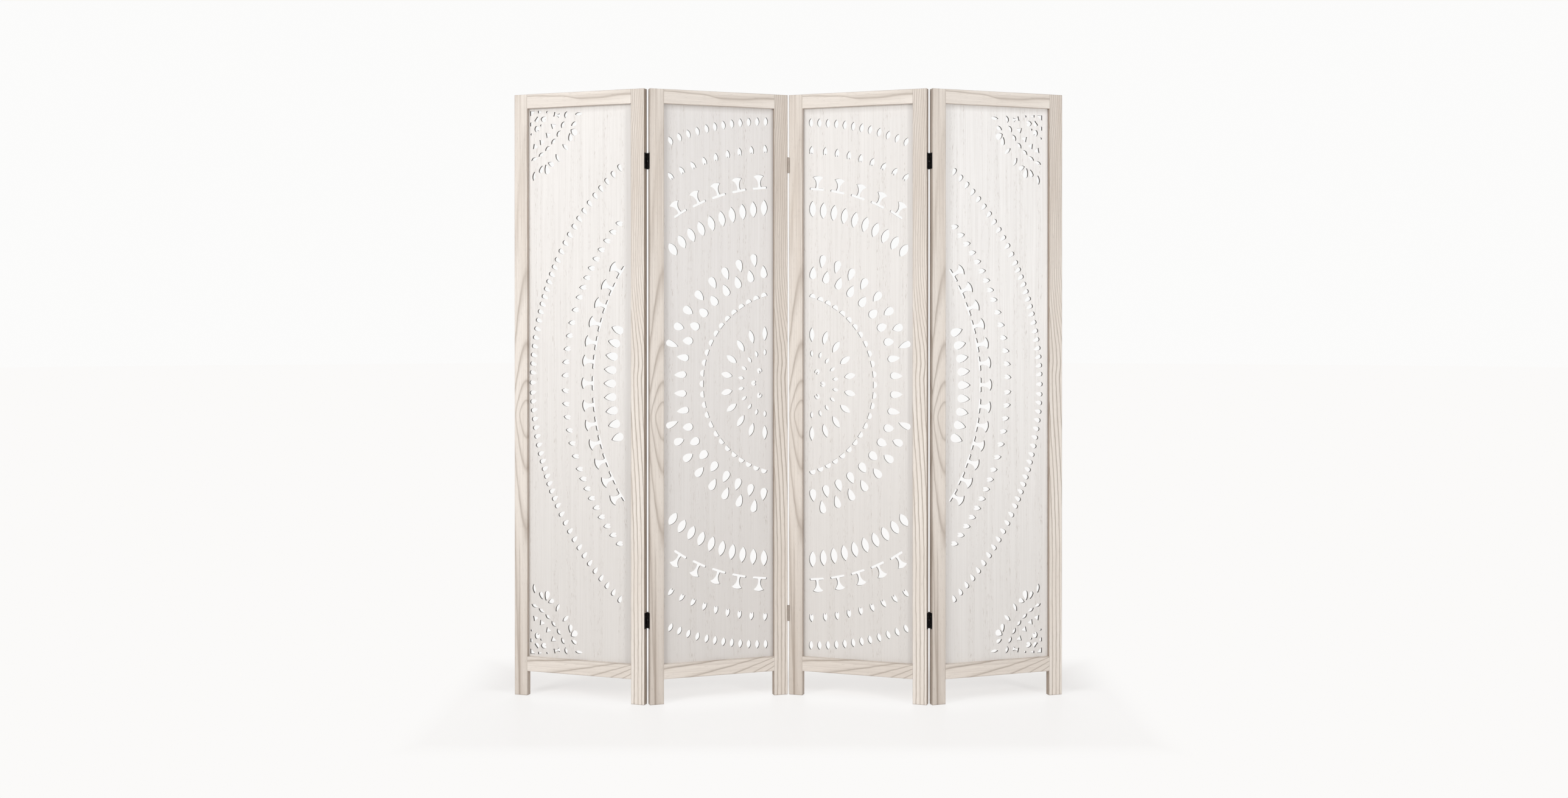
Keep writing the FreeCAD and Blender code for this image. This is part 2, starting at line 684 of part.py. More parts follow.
def inside_opening(wire):
    """True where the whole hole lies in the visible part of the panel, clear of the frame."""
    box = wire.BoundBox
    return (box.XMin > STILE_W + LEAST_BORDER and box.XMax < LEAF_W - STILE_W - LEAST_BORDER
            and box.ZMin > OPENING_LOW + LEAST_BORDER and box.ZMax < OPENING_HIGH - LEAST_BORDER)


def leaves_web(wire, kept):
    """True where at least the least web stays between this hole and every hole kept so far."""
    box = wire.BoundBox
    box.enlarge(LEAST_WEB)
    near = [w for w in kept if box.intersect(w.BoundBox)]
    if not near:
        return True
    face = Part.Face(wire)
    return all(face.distToShape(Part.Face(w))[0] >= LEAST_WEB for w in near)


def panel(holes, mirror, rise, shift=0.0, widen=1.0, heighten=1.0):
    """Panel with its tongue all round and its holes. A mirrored panel has its inner edge on the left."""
    def to_leaf(out, up, along, across):
        outwards = shift + widen * out + along
        x = outwards if mirror else LEAF_W - outwards
        return vec(x, PANEL_RECESS, OPENING_MIDDLE + rise + heighten * up + across)

    low_x, high_x = STILE_W - TONGUE, LEAF_W - STILE_W + TONGUE
    low_z, high_z = OPENING_LOW - TONGUE, OPENING_HIGH + TONGUE
    corners = [vec(low_x, PANEL_RECESS, low_z), vec(high_x, PANEL_RECESS, low_z),
               vec(high_x, PANEL_RECESS, high_z), vec(low_x, PANEL_RECESS, high_z)]
    outer = Part.makePolygon(corners + corners[:1])
    kept = []
    for hole in holes:
        wire = hole_wire(hole, to_leaf)
        if inside_opening(wire) and leaves_web(wire, kept):
            kept.append(wire)
    face = Part.Face([outer] + kept)
    print("holes wanted", len(holes), "cut", len(kept))
    return face.extrude(vec(0, PANEL_T))


def hinge_plate(edge, level, upper):
    """Plate on the stile's edge with its own half of the barrel and countersunk screw holes."""
    axis = edge.axis()
    surface = edge.at + edge.out * PLATE_T
    near = edge.face_y - edge.away * PLATE_SETBACK
    far = edge.face_y - edge.away * PLATE_DEPTH
    low, high = level - HINGE_H / 2, level + HINGE_H / 2
    knuckle_low = level + KNUCKLE_GAP / 2 if upper else low
    knuckle_h = (HINGE_H - KNUCKLE_GAP) / 2
    plate = box_between(vec(edge.at, near, low), vec(surface, far, high))
    tab = box_between(vec(edge.at, near, knuckle_low), vec(surface, axis.y, knuckle_low + knuckle_h))
    barrel = Part.makeCylinder(KNUCKLE_R, knuckle_h, vec(axis.x, axis.y, knuckle_low))
    body = plate.fuse([tab, barrel])
    cuts = [Part.makeCylinder(PIN_R + PIN_PLAY, HINGE_H, vec(axis.x, axis.y, low))]
    for hole_level in screw_levels(level):
        cuts.append(screw_blank(edge, hole_level, SCREW_PLAY))
    return body.cut(cuts).removeSplitter()


def screw_blank(edge, level, play=0.0):
    """Countersunk screw without its recess, or the space for it where play is given."""
    inwards = vec(-edge.out, 0)
    head_h = SCREW_HEAD_R - SCREW_R
    start = vec(edge.at + edge.out * PLATE_T, edge.screw_y(), level)
    head = Part.makeCone(SCREW_HEAD_R + play, SCREW_R + play, head_h, start, inwards)
    shank = Part.makeCylinder(SCREW_R + play, SCREW_SHANK_L - head_h, start + inwards * head_h, inwards)
    tip = Part.makeCone(SCREW_R, SCREW_TIP_R, SCREW_TIP_L, start + inwards * SCREW_SHANK_L, inwards)
    return head.fuse([shank, tip])


def screws(edge, level):
    """The two screws of one plate, each with a cross recess in its head."""
    made = []
    surface = edge.at + edge.out * PLATE_T
    for screw_level in screw_levels(level):
        bottom = surface - edge.out * RECESS_DEPTH
        outside = surface + edge.out * CUT_OVERRUN
        arms = []
        for half_y, half_z in ((RECESS_L / 2, RECESS_W / 2), (RECESS_W / 2, RECESS_L / 2)):
            arms.append(box_between(vec(bottom, edge.screw_y() - half_y, screw_level - half_z),
                                    vec(outside, edge.screw_y() + half_y, screw_level + half_z)))
        made.append(screw_blank(edge, screw_level).cut(arms))
    return Part.makeCompound(made)


def hinge_pin(edge, level):
    """Pin through both knuckles with a small flat head at each end."""
    axis = edge.axis()
    half = HINGE_H / 2 + PIN_END_PLAY
    shank = Part.makeCylinder(PIN_R, half + half, vec(axis.x, axis.y, level - half))
    heads = [Part.makeCylinder(PIN_HEAD_R, PIN_HEAD_H, vec(axis.x, axis.y, level + half)),
             Part.makeCylinder(PIN_HEAD_R, PIN_HEAD_H, vec(axis.x, axis.y, level - half - PIN_HEAD_H))]
    return shank.fuse(heads).removeSplitter()


def leaf_placement(turn, edge, axis_at):
    """Placement of a leaf that is turned about Z, with the hinge axis of one edge at a given point."""
    rotation = FreeCAD.Rotation(vec(0, 0, 1), turn)
    return FreeCAD.Placement(axis_at - rotation.multVec(edge.axis()), rotation)


# Edges of the four leaves. The middle joint turns on the front faces, the outer ones on the back.
EDGES = {
    1: (Edge("left"), Edge("right", "back")),
    2: (Edge("left", "back"), Edge("right", "front")),
    3: (Edge("left", "front"), Edge("right", "back")),
    4: (Edge("left", "back"), Edge("right")),
}
TURNS = {1: -FOLD_ANGLE, 2: FOLD_ANGLE, 3: -FOLD_ANGLE, 4: FOLD_ANGLE}


def leaf_places():
    """Placement of each leaf and the plan position of each joint, with the middle joint at zero."""
    middle = vec(0, 0)
    places = {2: leaf_placement(TURNS[2], EDGES[2][1], middle),
              3: leaf_placement(TURNS[3], EDGES[3][0], middle)}
    left = places[2].multVec(EDGES[2][0].axis())
    right = places[3].multVec(EDGES[3][1].axis())
    places[1] = leaf_placement(TURNS[1], EDGES[1][1], left)
    places[4] = leaf_placement(TURNS[4], EDGES[4][0], right)
    return places, {"1_2": left, "2_3": middle, "3_4": right}


def leaf_panels():
    inner = inner_ornament()
    outer = outer_ornament()
    return {1: panel(outer, False, LEAF_1_RISE, LEAF_1_SHIFT, LEAF_1_WIDEN_SHARE, LEAF_1_HEIGHTEN_SHARE),
            2: panel(inner, False, LEAF_2_RISE),
            3: panel(inner, True, LEAF_3_RISE),
            4: panel(outer, True, LEAF_4_RISE)}


def build():
    """Every named piece in its place, before the screen is centred on its origin."""
    places, joints = leaf_places()
    panels = leaf_panels()
    pieces = {}

    def add(name, leaf, shape):
        placed = shape.copy()
        placed.Placement = places[leaf].multiply(placed.Placement)
        pieces[name] = placed

    for leaf, (left, right) in EDGES.items():
        add(f"leaf_{leaf}_stile_left", leaf, stile(left))
        add(f"leaf_{leaf}_stile_right", leaf, stile(right))
        add(f"leaf_{leaf}_rail_top", leaf, rail(OPENING_HIGH, LEAF_H, OPENING_HIGH, 1))
        add(f"leaf_{leaf}_rail_bottom", leaf, rail(FOOT_H, OPENING_LOW, OPENING_LOW, -1))
        add(f"leaf_{leaf}_panel", leaf, panels[leaf])
        add(f"leaf_{leaf}_dowels", leaf, dowels())
    for first in (1, 2, 3):
        second = first + 1
        for name, level in HINGE_LEVELS.items():
            stem = f"hinge_{first}_{second}_{name}"
            for leaf, edge, upper in ((first, EDGES[first][1], True), (second, EDGES[second][0], False)):
                add(f"{stem}_plate_{leaf}", leaf, hinge_plate(edge, level, upper))
                add(f"{stem}_screws_{leaf}", leaf, screws(edge, level))
            add(f"{stem}_pin", first, hinge_pin(EDGES[first][1], level))
    return pieces, joints


def main():
    pieces, joints = build()
    box = Part.makeCompound(list(pieces.values())).BoundBox
    move = vec(-box.Center.x, -box.Center.y, -box.ZMin)
    os.makedirs("parts", exist_ok=True)
    for name, shape in pieces.items():
        shape.translate(move)
        shape.exportStep(f"parts/{name}.step")
    for name, point in joints.items():
        print("joint", name, [round(v, 4) for v in point + move])
    print("pieces", len(pieces), "size", [round(v, 3) for v in (box.XLength, box.YLength, box.ZLength)])


main()
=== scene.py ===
import json
import math

import bmesh
import bpy
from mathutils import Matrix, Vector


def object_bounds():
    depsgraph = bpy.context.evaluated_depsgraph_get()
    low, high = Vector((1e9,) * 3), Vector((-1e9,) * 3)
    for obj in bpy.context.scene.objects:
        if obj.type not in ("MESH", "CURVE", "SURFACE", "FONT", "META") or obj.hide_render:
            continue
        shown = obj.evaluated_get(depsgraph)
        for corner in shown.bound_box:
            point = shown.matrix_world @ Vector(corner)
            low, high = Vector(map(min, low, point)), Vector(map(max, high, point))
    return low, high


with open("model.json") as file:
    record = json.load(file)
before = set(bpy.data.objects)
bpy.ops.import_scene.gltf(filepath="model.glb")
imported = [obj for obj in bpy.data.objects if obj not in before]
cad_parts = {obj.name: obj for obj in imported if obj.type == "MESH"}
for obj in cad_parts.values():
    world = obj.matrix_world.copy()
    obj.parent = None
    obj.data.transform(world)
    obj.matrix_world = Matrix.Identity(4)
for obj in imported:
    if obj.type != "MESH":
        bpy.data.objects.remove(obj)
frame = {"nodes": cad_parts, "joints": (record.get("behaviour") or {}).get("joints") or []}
cad_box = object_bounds()

# Sizes of one leaf in metres, and how far each leaf is turned out of the screen's long line in degrees
LEAF_W = 0.400
LEAF_H = 1.700
LEAF_T = 0.019
STILE_W = 0.040
FOOT_H = 0.069
TOP_RAIL_H = 0.040
LOW_RAIL_H = 0.041
PANEL_RECESS = 0.010
PANEL_T = 0.006
AXIS_OUT = 0.0011
AXIS_OFF = 0.0024
TURN = {1: -18.4, 2: 18.4, 3: -18.4, 4: 18.4}

# For each leaf: one of its joints, and how far that lies along the leaf and behind its front face
AXIS_OF = {
    1: ("fold_1_2", LEAF_W + AXIS_OUT, LEAF_T + AXIS_OFF),
    2: ("fold_2_3", LEAF_W + AXIS_OUT, -AXIS_OFF),
    3: ("fold_2_3", -AXIS_OUT, -AXIS_OFF),
    4: ("fold_3_4", -AXIS_OUT, LEAF_T + AXIS_OFF),
}
JOINT_AT = {joint["name"]: joint["pos_m"] for joint in frame["joints"]}

# Screen colours, 0 to 255
WOOD_LIGHT = (253, 246, 238)
WOOD_MID = (246, 237, 227)
WOOD_DARK = (160, 142, 126)
WOOD_PORE_AND_SHADE = (132, 115, 101)
WOOD_LINE_AND_SHADE = (148, 130, 114)
PANEL_TINTS = {1: (247, 244, 241), 2: (241, 238, 236), 3: (245, 242, 239), 4: (255, 253, 251)}
PANEL_STREAK_AND_SHADE = (216, 211, 206)
PANEL_PAINTED_SHADOW = (172, 167, 162)
CUT_EDGE = (70, 66, 62)
DOWEL_LIGHT = (222, 190, 150)
DOWEL_DARK = (190, 150, 108)
FLOOR_PALE = (247, 244, 242)

# Sockets of the mix node that carry colours
MIX_A = 6
MIX_B = 7
MIX_RESULT = 2


def leaf_corner(leaf):
    """Plan position of the leaf's own zero: left edge, front face."""
    joint, along, through = AXIS_OF[leaf]
    turn = math.radians(TURN[leaf])
    x, y = JOINT_AT[joint][:2]
    return (x - along * math.cos(turn) + through * math.sin(turn),
            y - along * math.sin(turn) - through * math.cos(turn))


def linear(value):
    """One channel of a screen colour, 0 to 1, as light."""
    return value / 12.92 if value <= 0.04045 else ((value + 0.055) / 1.055) ** 2.4


def rgba(colour):
    """A colour of screen values, or one plain grey, as the shader's own."""
    if isinstance(colour, float):
        return (colour, colour, colour, 1.0)
    return tuple(linear(channel / 255) for channel in colour) + (1.0,)


class Maker:
    """Builds one material out of nodes."""

    def __init__(self, name):
        self.material = bpy.data.materials.new(name)
        self.material.use_nodes = True
        self.tree = self.material.node_tree
        self.shader = self.tree.nodes["Principled BSDF"]

    def feed(self, socket, value):
        if isinstance(value, bpy.types.NodeSocket):
            self.tree.links.new(value, socket)
        else:
            socket.default_value = value

    def node(self, kind, inputs=None, **settings):
        made = self.tree.nodes.new(kind)
        for key, value in settings.items():
            setattr(made, key, value)
        for key, value in (inputs or {}).items():
            self.feed(made.inputs[key], value)
        return made

    def place(self):
        """Where a point lies in its object, in metres."""
        return self.node("ShaderNodeTexCoord").outputs["Object"]

    def split(self, vector):
        return self.node("ShaderNodeSeparateXYZ", {0: vector}).outputs

    def vector(self, x, y, z):
        return self.node("ShaderNodeCombineXYZ", {0: x, 1: y, 2: z}).outputs[0]

    def math(self, operation, a, b=None):
        made = self.node("ShaderNodeMath", operation=operation)
        self.feed(made.inputs[0], a)
        if b is not None:
            self.feed(made.inputs[1], b)
        return made.outputs[0]

    def add(self, a, b):
        return self.math("ADD", a, b)

    def less(self, a, b):
        return self.math("SUBTRACT", a, b)

    def times(self, a, b):
        return self.math("MULTIPLY", a, b)

    def larger(self, a, b):
        return self.math("MAXIMUM", a, b)

    def size(self, a):
        return self.math("ABSOLUTE", a)

    def off_edge(self, place, width):
        """How far a place is from the nearer of two edges, at 0 and at width."""
        return self.math("MINIMUM", self.size(place), self.size(self.less(place, width)))

    def span(self, value, low, high, to_low=0.0, to_high=1.0, **settings):
        """Straight from one number to another between low and high, and held beyond them."""
        inputs = {0: value, 1: low, 2: high, 3: to_low, 4: to_high}
        return self.node("ShaderNodeMapRange", inputs, clamp=True, **settings).outputs[0]

    def ease(self, value, low, high, to_low, to_high):
        """Like span, but with a soft start and end."""
        return self.span(value, low, high, to_low, to_high, interpolation_type="SMOOTHSTEP")

    def noise(self, vector, detail, roughness=0.5, scale=1.0):
        inputs = {"Vector": vector, "Scale": scale, "Detail": detail, "Roughness": roughness}
        return self.node("ShaderNodeTexNoise", inputs).outputs[0]

    def ramp(self, value, stops):
        made = self.node("ShaderNodeValToRGB", {0: value})
        elements = made.color_ramp.elements
        for element, (position, colour) in zip(elements, (stops[0], stops[-1])):
            element.position, element.color = position, rgba(colour)
        for position, colour in stops[1:-1]:
            elements.new(position).color = rgba(colour)
        return made.outputs[0]

    def mix(self, factor, a, b):
        """From colour a to colour b. The node's sockets for numbers and vectors come before these."""
        made = self.node("ShaderNodeMix", data_type="RGBA", blend_type="MIX")
        self.feed(made.inputs[0], factor)
        for index, value in ((MIX_A, a), (MIX_B, b)):
            self.feed(made.inputs[index], rgba(value) if isinstance(value, tuple) else value)
        return made.outputs[MIX_RESULT]

    def finish(self, colour, roughness, height, relief):
        self.feed(self.shader.inputs["Base Color"], colour)
        self.feed(self.shader.inputs["Roughness"], roughness)
        made = self.node("ShaderNodeBump", {"Height": height, "Strength": 1.0, "Distance": relief})
        self.feed(self.shader.inputs["Normal"], made.outputs[0])
        return self.material


def leaf_space(maker, leaf):
    """Along the leaf from its left edge, back from its front face, and up, in metres."""
    x, y = leaf_corner(leaf)
    mapped = maker.node("ShaderNodeMapping", {
        "Vector": maker.place(), "Location": (x, y, 0.0), "Rotation": (0.0, 0.0, math.radians(TURN[leaf]))},
        vector_type="TEXTURE")
    return maker.split(mapped.outputs[0])


# Growth rings, as lengths in metres. A ring function gives a number that rises by 1 from one dark
# line to the next.
LOOP_AT = 0.795
LOOP_MIDDLE = 0.038
LOOP_FIRST = 0.022
LOOP_STEP = 0.013
LOOP_SPREAD = 0.020
LOOP_BELOW_SHARE = 0.62
LOOP_BELOW_FULL = 0.325
LOOP_BELOW_HELD_SHARE = 0.60
LOOP_INNERMOST = -0.45
BEND_STEP_LOW = 0.0115
BEND_STEP_HIGH = 0.0062
BEND_STEP_CHANGE = (0.93, 1.25)
BENDS = ((0.40, 0.95, -0.024), (0.90, 0.95, 0.003), (0.95, 1.12, -0.006), (1.20, 1.60, 0.007),
         (1.50, 1.72, 0.010))
TROUGH_TOP = 0.006
TROUGH_FALLS = ((0.00, 0.12, 0.005), (0.11, 0.17, 0.008), (0.20, 0.32, -0.006))
TROUGH_STEP_LEFT = 0.012
TROUGH_STEP_RIGHT = 0.034
TROUGH_STEP_CHANGE = (0.12, 0.17)
HALF_RING = 0.5
FAN_ALONG = 0.40
FAN_UP = 0.064
FAN_SHARE = 1.35
FAN_LINES = 16.0


def loop_rings(maker, along, across):
    """Left stile: long loops that close near the right edge."""
    above = maker.larger(maker.less(along, LOOP_AT), 0.0)
    below = maker.larger(maker.less(LOOP_AT, along), 0.0)
    beyond = maker.larger(maker.less(below, LOOP_BELOW_FULL), 0.0)
    below = maker.less(below, maker.times(beyond, LOOP_BELOW_HELD_SHARE))
    reach = maker.add(above, maker.times(below, LOOP_BELOW_SHARE))
    swell = maker.math("LOGARITHM", maker.add(maker.times(reach, 1 / LOOP_SPREAD), 1.0), math.e)
    depth = maker.times(swell, LOOP_SPREAD)
    side = maker.less(across, LOOP_MIDDLE)
    radius = maker.math("SQRT", maker.add(maker.times(side, side), maker.times(depth, depth)))
    return maker.larger(maker.times(maker.less(radius, LOOP_FIRST), 1 / LOOP_STEP), LOOP_INNERMOST)


def bend_rings(maker, along, across):
    """Right stile: lines that run the whole length and swing from side to side."""
    place = across
    for low, high, shift in BENDS:
        place = maker.add(place, maker.ease(along, low, high, shift, 0.0))
    return maker.times(place, maker.ease(along, *BEND_STEP_CHANGE, 1 / BEND_STEP_LOW, 1 / BEND_STEP_HIGH))


def trough_rings(maker, along, across):
    """Top rail: one line that dips into a long hollow and grows broad there."""
    from_top = maker.less(TOP_RAIL_H - TROUGH_TOP, across)
    for low, high, fall in TROUGH_FALLS:
        from_top = maker.less(from_top, maker.ease(along, low, high, 0.0, fall))
    rate = maker.ease(along, *TROUGH_STEP_CHANGE, 1 / TROUGH_STEP_LEFT, 1 / TROUGH_STEP_RIGHT)
    return maker.span(maker.times(from_top, rate), -HALF_RING, HALF_RING, -HALF_RING, HALF_RING)


def fan_rings(maker, along, across):
    """Bottom rail: lines that climb to the right, each steeper than the one on its left."""
    rise = maker.less(FAN_UP, across)
    run = maker.less(FAN_ALONG, along)
    both = maker.add(rise, maker.times(run, FAN_SHARE))
    return maker.times(maker.math("DIVIDE", rise, both), FAN_LINES)


# For each kind of board: its rings, a seed for its noise, how wide its lines are, how much painted shade
# darkens its hinge side and its panel side, and where across the board that panel side is. The rest is how
# much of
# something there is along the board, as: from, to, and how much at each. Darker steps add up.
BOARDS = {
    "stile_left": {
        "rings": loop_rings, "seed": 3.0, "line_w": 0.85, "side": 0.55, "inner": 0.55, "inner_at": STILE_W,
        "lines": (1.10, 1.35, 0.66, 0.25), "streaks": (1.05, 1.30, 0.22, 0.48),
        "darker": ((0.0, 0.75, 0.28, 0.04), (0.90, 1.30, 0.0, 0.08))},
    "stile_right": {
        "rings": bend_rings, "seed": 11.0, "line_w": 0.80, "side": 0.75, "inner": 0.85, "inner_at": 0.0,
        "lines": (0.90, 1.30, 1.0, 0.66), "streaks": (0.90, 1.30, 0.18, 0.32),
        "darker": ((0.50, 1.10, 0.0, 0.08), (1.00, 1.50, 0.0, 0.17))},
    "rail_top": {
        "rings": trough_rings, "seed": 23.0, "line_w": 1.0, "side": 0.0, "inner": 0.50, "inner_at": 0.0,
        "lines": (0.0, 0.2, 0.72, 0.80), "streaks": (0.0, 0.3, 0.26, 0.26),
        "darker": ((0.0, 0.3, 0.09, 0.04),)},
    "rail_bottom": {
        "rings": fan_rings, "seed": 31.0, "line_w": 0.60, "side": 0.0, "inner": 0.10, "inner_at": LOW_RAIL_H,
        "lines": (0.0, 0.3, 0.85, 0.85), "streaks": (0.0, 0.3, 0.26, 0.26),
        "darker": ((0.0, 0.3, 0.05, 0.15),)},
}

# Boards that are darker than the others of their kind, and by how much
DARKER_BOARDS = {
    (2, "stile_left"): 0.06, (2, "stile_right"): 0.13, (3, "stile_left"): 0.11, (3, "rail_bottom"): 0.09,
    (4, "stile_left"): 0.07, (4, "stile_right"): 0.06, (4, "rail_bottom"): 0.06,
}

# Noises of the frame's wood: changes to a metre across the grain and along it, detail, roughness
WOOD_GRAIN = {
    "slow": (9.0, 3.0, 2.0, 0.5),
    "quick": (60.0, 22.0, 2.0, 0.5),
    "patch": (25.0, 4.0, 2.0, 0.5),
    "streak": (330.0, 3.2, 3.0, 0.6),
    "fibre": (900.0, 14.0, 3.0, 0.6),
    "pore": (1500.0, 55.0, 1.0, 0.5),
}
NOISE_MIDDLE = 0.5

# How far the rings wander in metres, and how far they lean over with depth
WANDER_SLOW = 0.008
WANDER_QUICK = 0.0035
RING_LEAN = 0.3

# A dark line after and before the place where a ring starts: how far off in rings, and how dark
LINE_AFTER = ((0.0, 0.95), (0.12, 0.15), (0.30, 0.0))
LINE_BEFORE = ((0.40, 0.0), (0.16, 0.35), (0.0, 0.95))

# One broad dark vein low down on each left stile
VEIN_AT = 0.0155
VEIN_OFF = (0.0, 0.0042, 0.55, 0.0)
VEIN_ALONG = (0.38, 0.46, 1.0, 0.0)
VEIN_PATCHES = (0.35, 0.6, 0.3, 1.0)

# Marks on the frame's wood, as: from, to, and how much at each. They go by a noise, or by a distance in
# metres for the rubbed edges, the depth of the panel side's painted shade and the painted contact shadow at
# the feet.
MID_TONE = (0.3, 0.7)
STREAKS = (0.46, 0.70)
LINE_PATCHES = (0.3, 0.65, 1.0, 0.6)
FIBRES = (0.35, 0.75, 0.0, 0.16)
PORES = (0.66, 0.74, 0.0, 0.40)
RUBBED_EDGE = (0.0004, 0.0026, 1.0, 0.0)
RUBBED_PATCHES = (0.40, 0.65, 0.10, 0.45)
SHADED_SIDE_DEPTH = (0.0005, 0.0020)
FOOT_CONTACT_SHADOW = (0.0003, 0.0025, 0.6, 0.0)
SIDE_IN = 0.0009
SIDE_OUT = 0.0001
WOOD_ROUGHNESS = (0.2, 0.8, 0.48, 0.66)

# How much fibres, pores and lines stand up or sink in, and the depth of a full step in metres
PORE_PITS = (0.62, 0.74)
FIBRE_HEIGHT = 0.5
PORE_HEIGHT = -0.6
LINE_HEIGHT = -0.3
WOOD_RELIEF = 0.00018


def frame_wood(leaf, part):
    """Pale bleached timber: dark growth rings, streaks, fine fibres, open pores and rubbed edges, with
    painted shade on its hinge side, its panel side and its feet.
    """
    maker = Maker(f"wood_{leaf}_{part}")
    board = BOARDS[part]
    x, y, z = leaf_space(maker, leaf)
    if part.startswith("stile"):
        along = z
        across = maker.add(x, 0.0 if part == "stile_left" else STILE_W - LEAF_W)
        width = STILE_W
    else:
        along = maker.less(x, STILE_W)
        across = maker.less(z, FOOT_H if part == "rail_bottom" else LEAF_H - TOP_RAIL_H)
        width = TOP_RAIL_H

    def grain(name):
        fine, long, detail, roughness = WOOD_GRAIN[name]
        lengthwise = maker.add(maker.times(along, long), board["seed"])
        place = maker.vector(maker.times(across, fine), maker.times(y, fine), lengthwise)
        return maker.noise(place, detail, roughness)

    slow = maker.times(maker.less(grain("slow"), NOISE_MIDDLE), WANDER_SLOW)
    quick = maker.times(maker.less(grain("quick"), NOISE_MIDDLE), WANDER_QUICK)
    skewed = maker.add(maker.add(across, maker.add(slow, quick)), maker.times(y, RING_LEAN))
    phase = maker.math("FRACT", board["rings"](maker, along, skewed))
    stops = [(off * board["line_w"], dark) for off, dark in LINE_AFTER]
    stops += [(1.0 - off * board["line_w"], dark) for off, dark in LINE_BEFORE]
    line = maker.ramp(phase, stops)
    patch, streak, fibre, pore = (grain(name) for name in ("patch", "streak", "fibre", "pore"))

    colour = maker.mix(maker.span(patch, *MID_TONE), WOOD_LIGHT, WOOD_MID)
    for darker in board["darker"]:
        colour = maker.mix(maker.ease(along, *darker), colour, WOOD_DARK)
    colour = maker.mix(DARKER_BOARDS.get((leaf, part), 0.0), colour, WOOD_DARK)
    streaks = maker.times(maker.span(streak, *STREAKS), maker.ease(along, *board["streaks"]))
    colour = maker.mix(streaks, colour, WOOD_DARK)
    if part == "stile_left":
        off = maker.size(maker.less(skewed, VEIN_AT))
        vein = maker.times(maker.ease(off, *VEIN_OFF), maker.ease(along, *VEIN_ALONG))
        colour = maker.mix(maker.times(vein, maker.span(patch, *VEIN_PATCHES)), colour, WOOD_LINE_AND_SHADE)
    lines = maker.times(maker.ease(along, *board["lines"]), maker.span(patch, *LINE_PATCHES))
    colour = maker.mix(maker.times(line, lines), colour, WOOD_LINE_AND_SHADE)
    colour = maker.mix(maker.span(fibre, *FIBRES), colour, WOOD_DARK)
    colour = maker.mix(maker.span(pore, *PORES), colour, WOOD_PORE_AND_SHADE)

    off_arris = maker.add(maker.off_edge(across, width), maker.off_edge(y, LEAF_T))
    rubbed = maker.times(maker.span(off_arris, *RUBBED_EDGE), maker.span(patch, *RUBBED_PATCHES))
    colour = maker.mix(rubbed, colour, WOOD_PORE_AND_SHADE)
    # Painted shade: the hinge side faces darkened, as if in shade deep in the gap between the leaves
    painted_gap_shade = maker.larger(maker.span(x, -SIDE_OUT, SIDE_IN, 1.0, 0.0),
                              maker.span(x, LEAF_W - SIDE_IN, LEAF_W + SIDE_OUT))
    colour = maker.mix(maker.times(painted_gap_shade, board["side"]), colour, WOOD_LINE_AND_SHADE)
    # Painted shade: the board's side towards the panel, in the recess and under the top rail, darkened where
    # shade falls
    off_panel = maker.size(maker.less(across, board["inner_at"]))
    painted_recess_shade = maker.times(maker.span(y, *SHADED_SIDE_DEPTH), board["inner"])
    painted_recess_shade = maker.times(maker.span(off_panel, 0.0, SIDE_IN, 1.0, 0.0), painted_recess_shade)
    colour = maker.mix(painted_recess_shade, colour, WOOD_LINE_AND_SHADE)
    # Painted contact shadow: a dark line along the very bottom of the feet
    colour = maker.mix(maker.span(z, *FOOT_CONTACT_SHADOW), colour, WOOD_PORE_AND_SHADE)

    pits = maker.times(maker.span(pore, *PORE_PITS), PORE_HEIGHT)
    height = maker.add(maker.times(fibre, FIBRE_HEIGHT), pits)
    height = maker.add(height, maker.times(line, LINE_HEIGHT))
    return maker.finish(colour, maker.span(fibre, *WOOD_ROUGHNESS), height, WOOD_RELIEF)


# Noises of the panels: changes to a metre across, through and up the panel, detail, roughness
PANEL_GRAIN = {
    "slow": (22.0, 20.0, 1.2, 2.0, 0.5),
    "streak": (420.0, 60.0, 4.0, 4.0, 0.65),
    "broad": (70.0, 20.0, 1.5, 3.0, 0.5),
    "dash": (900.0, 60.0, 60.0, 1.0, 0.5),
}
PANEL_SEED_STEP = 7.0
PANEL_LEAN = 0.006

# Marks on the panels, as: from, to, and how much at each. They go by a noise, or by the height in metres
# for the painted shade on the lower part.
BROAD_BANDS = (0.3, 0.7, 0.0, 0.16)
PAINTED_SHADE_BELOW = (0.10, 1.30, 0.45, 0.0)
FINE_LINES = (0.42, 0.75, 0.0, 0.38)
DASHES = (0.64, 0.72, 0.0, 0.45)
DASH_BANDS = (0.45, 0.6)
CUT_MARKS = (0.3, 0.7, 0.0, 0.35)
PANEL_ROUGHNESS = (0.3, 0.7, 0.52, 0.66)
DASH_PITS = (0.62, 0.72)
DASH_HEIGHT = -0.5
PANEL_RELIEF = 0.00010

# How deep in a hole the bare edge starts, and where it is fully bare, in metres
BARE_FROM = 0.0001
BARE_FULL = 0.0004

# Painted shadow that darkens a panel along the frame, where the top rail and the stiles cast shade on it:
# how far from the frame it starts to fade and ends, and how much of it there is. The sides are left and
# right for each leaf.
PAINTED_SHADOW_TOP = (0.0, 0.018, 0.42)
PAINTED_SHADOW_SIDES = {
    1: ((0.0, 0.006, 0.06), (0.016, 0.030, 0.13)),
    2: ((0.0, 0.006, 0.0), (0.0, 0.014, 0.30)),
    3: ((0.0, 0.018, 0.23), (0.0, 0.006, 0.0)),
    4: ((0.0, 0.008, 0.06), (0.0, 0.006, 0.04)),
}


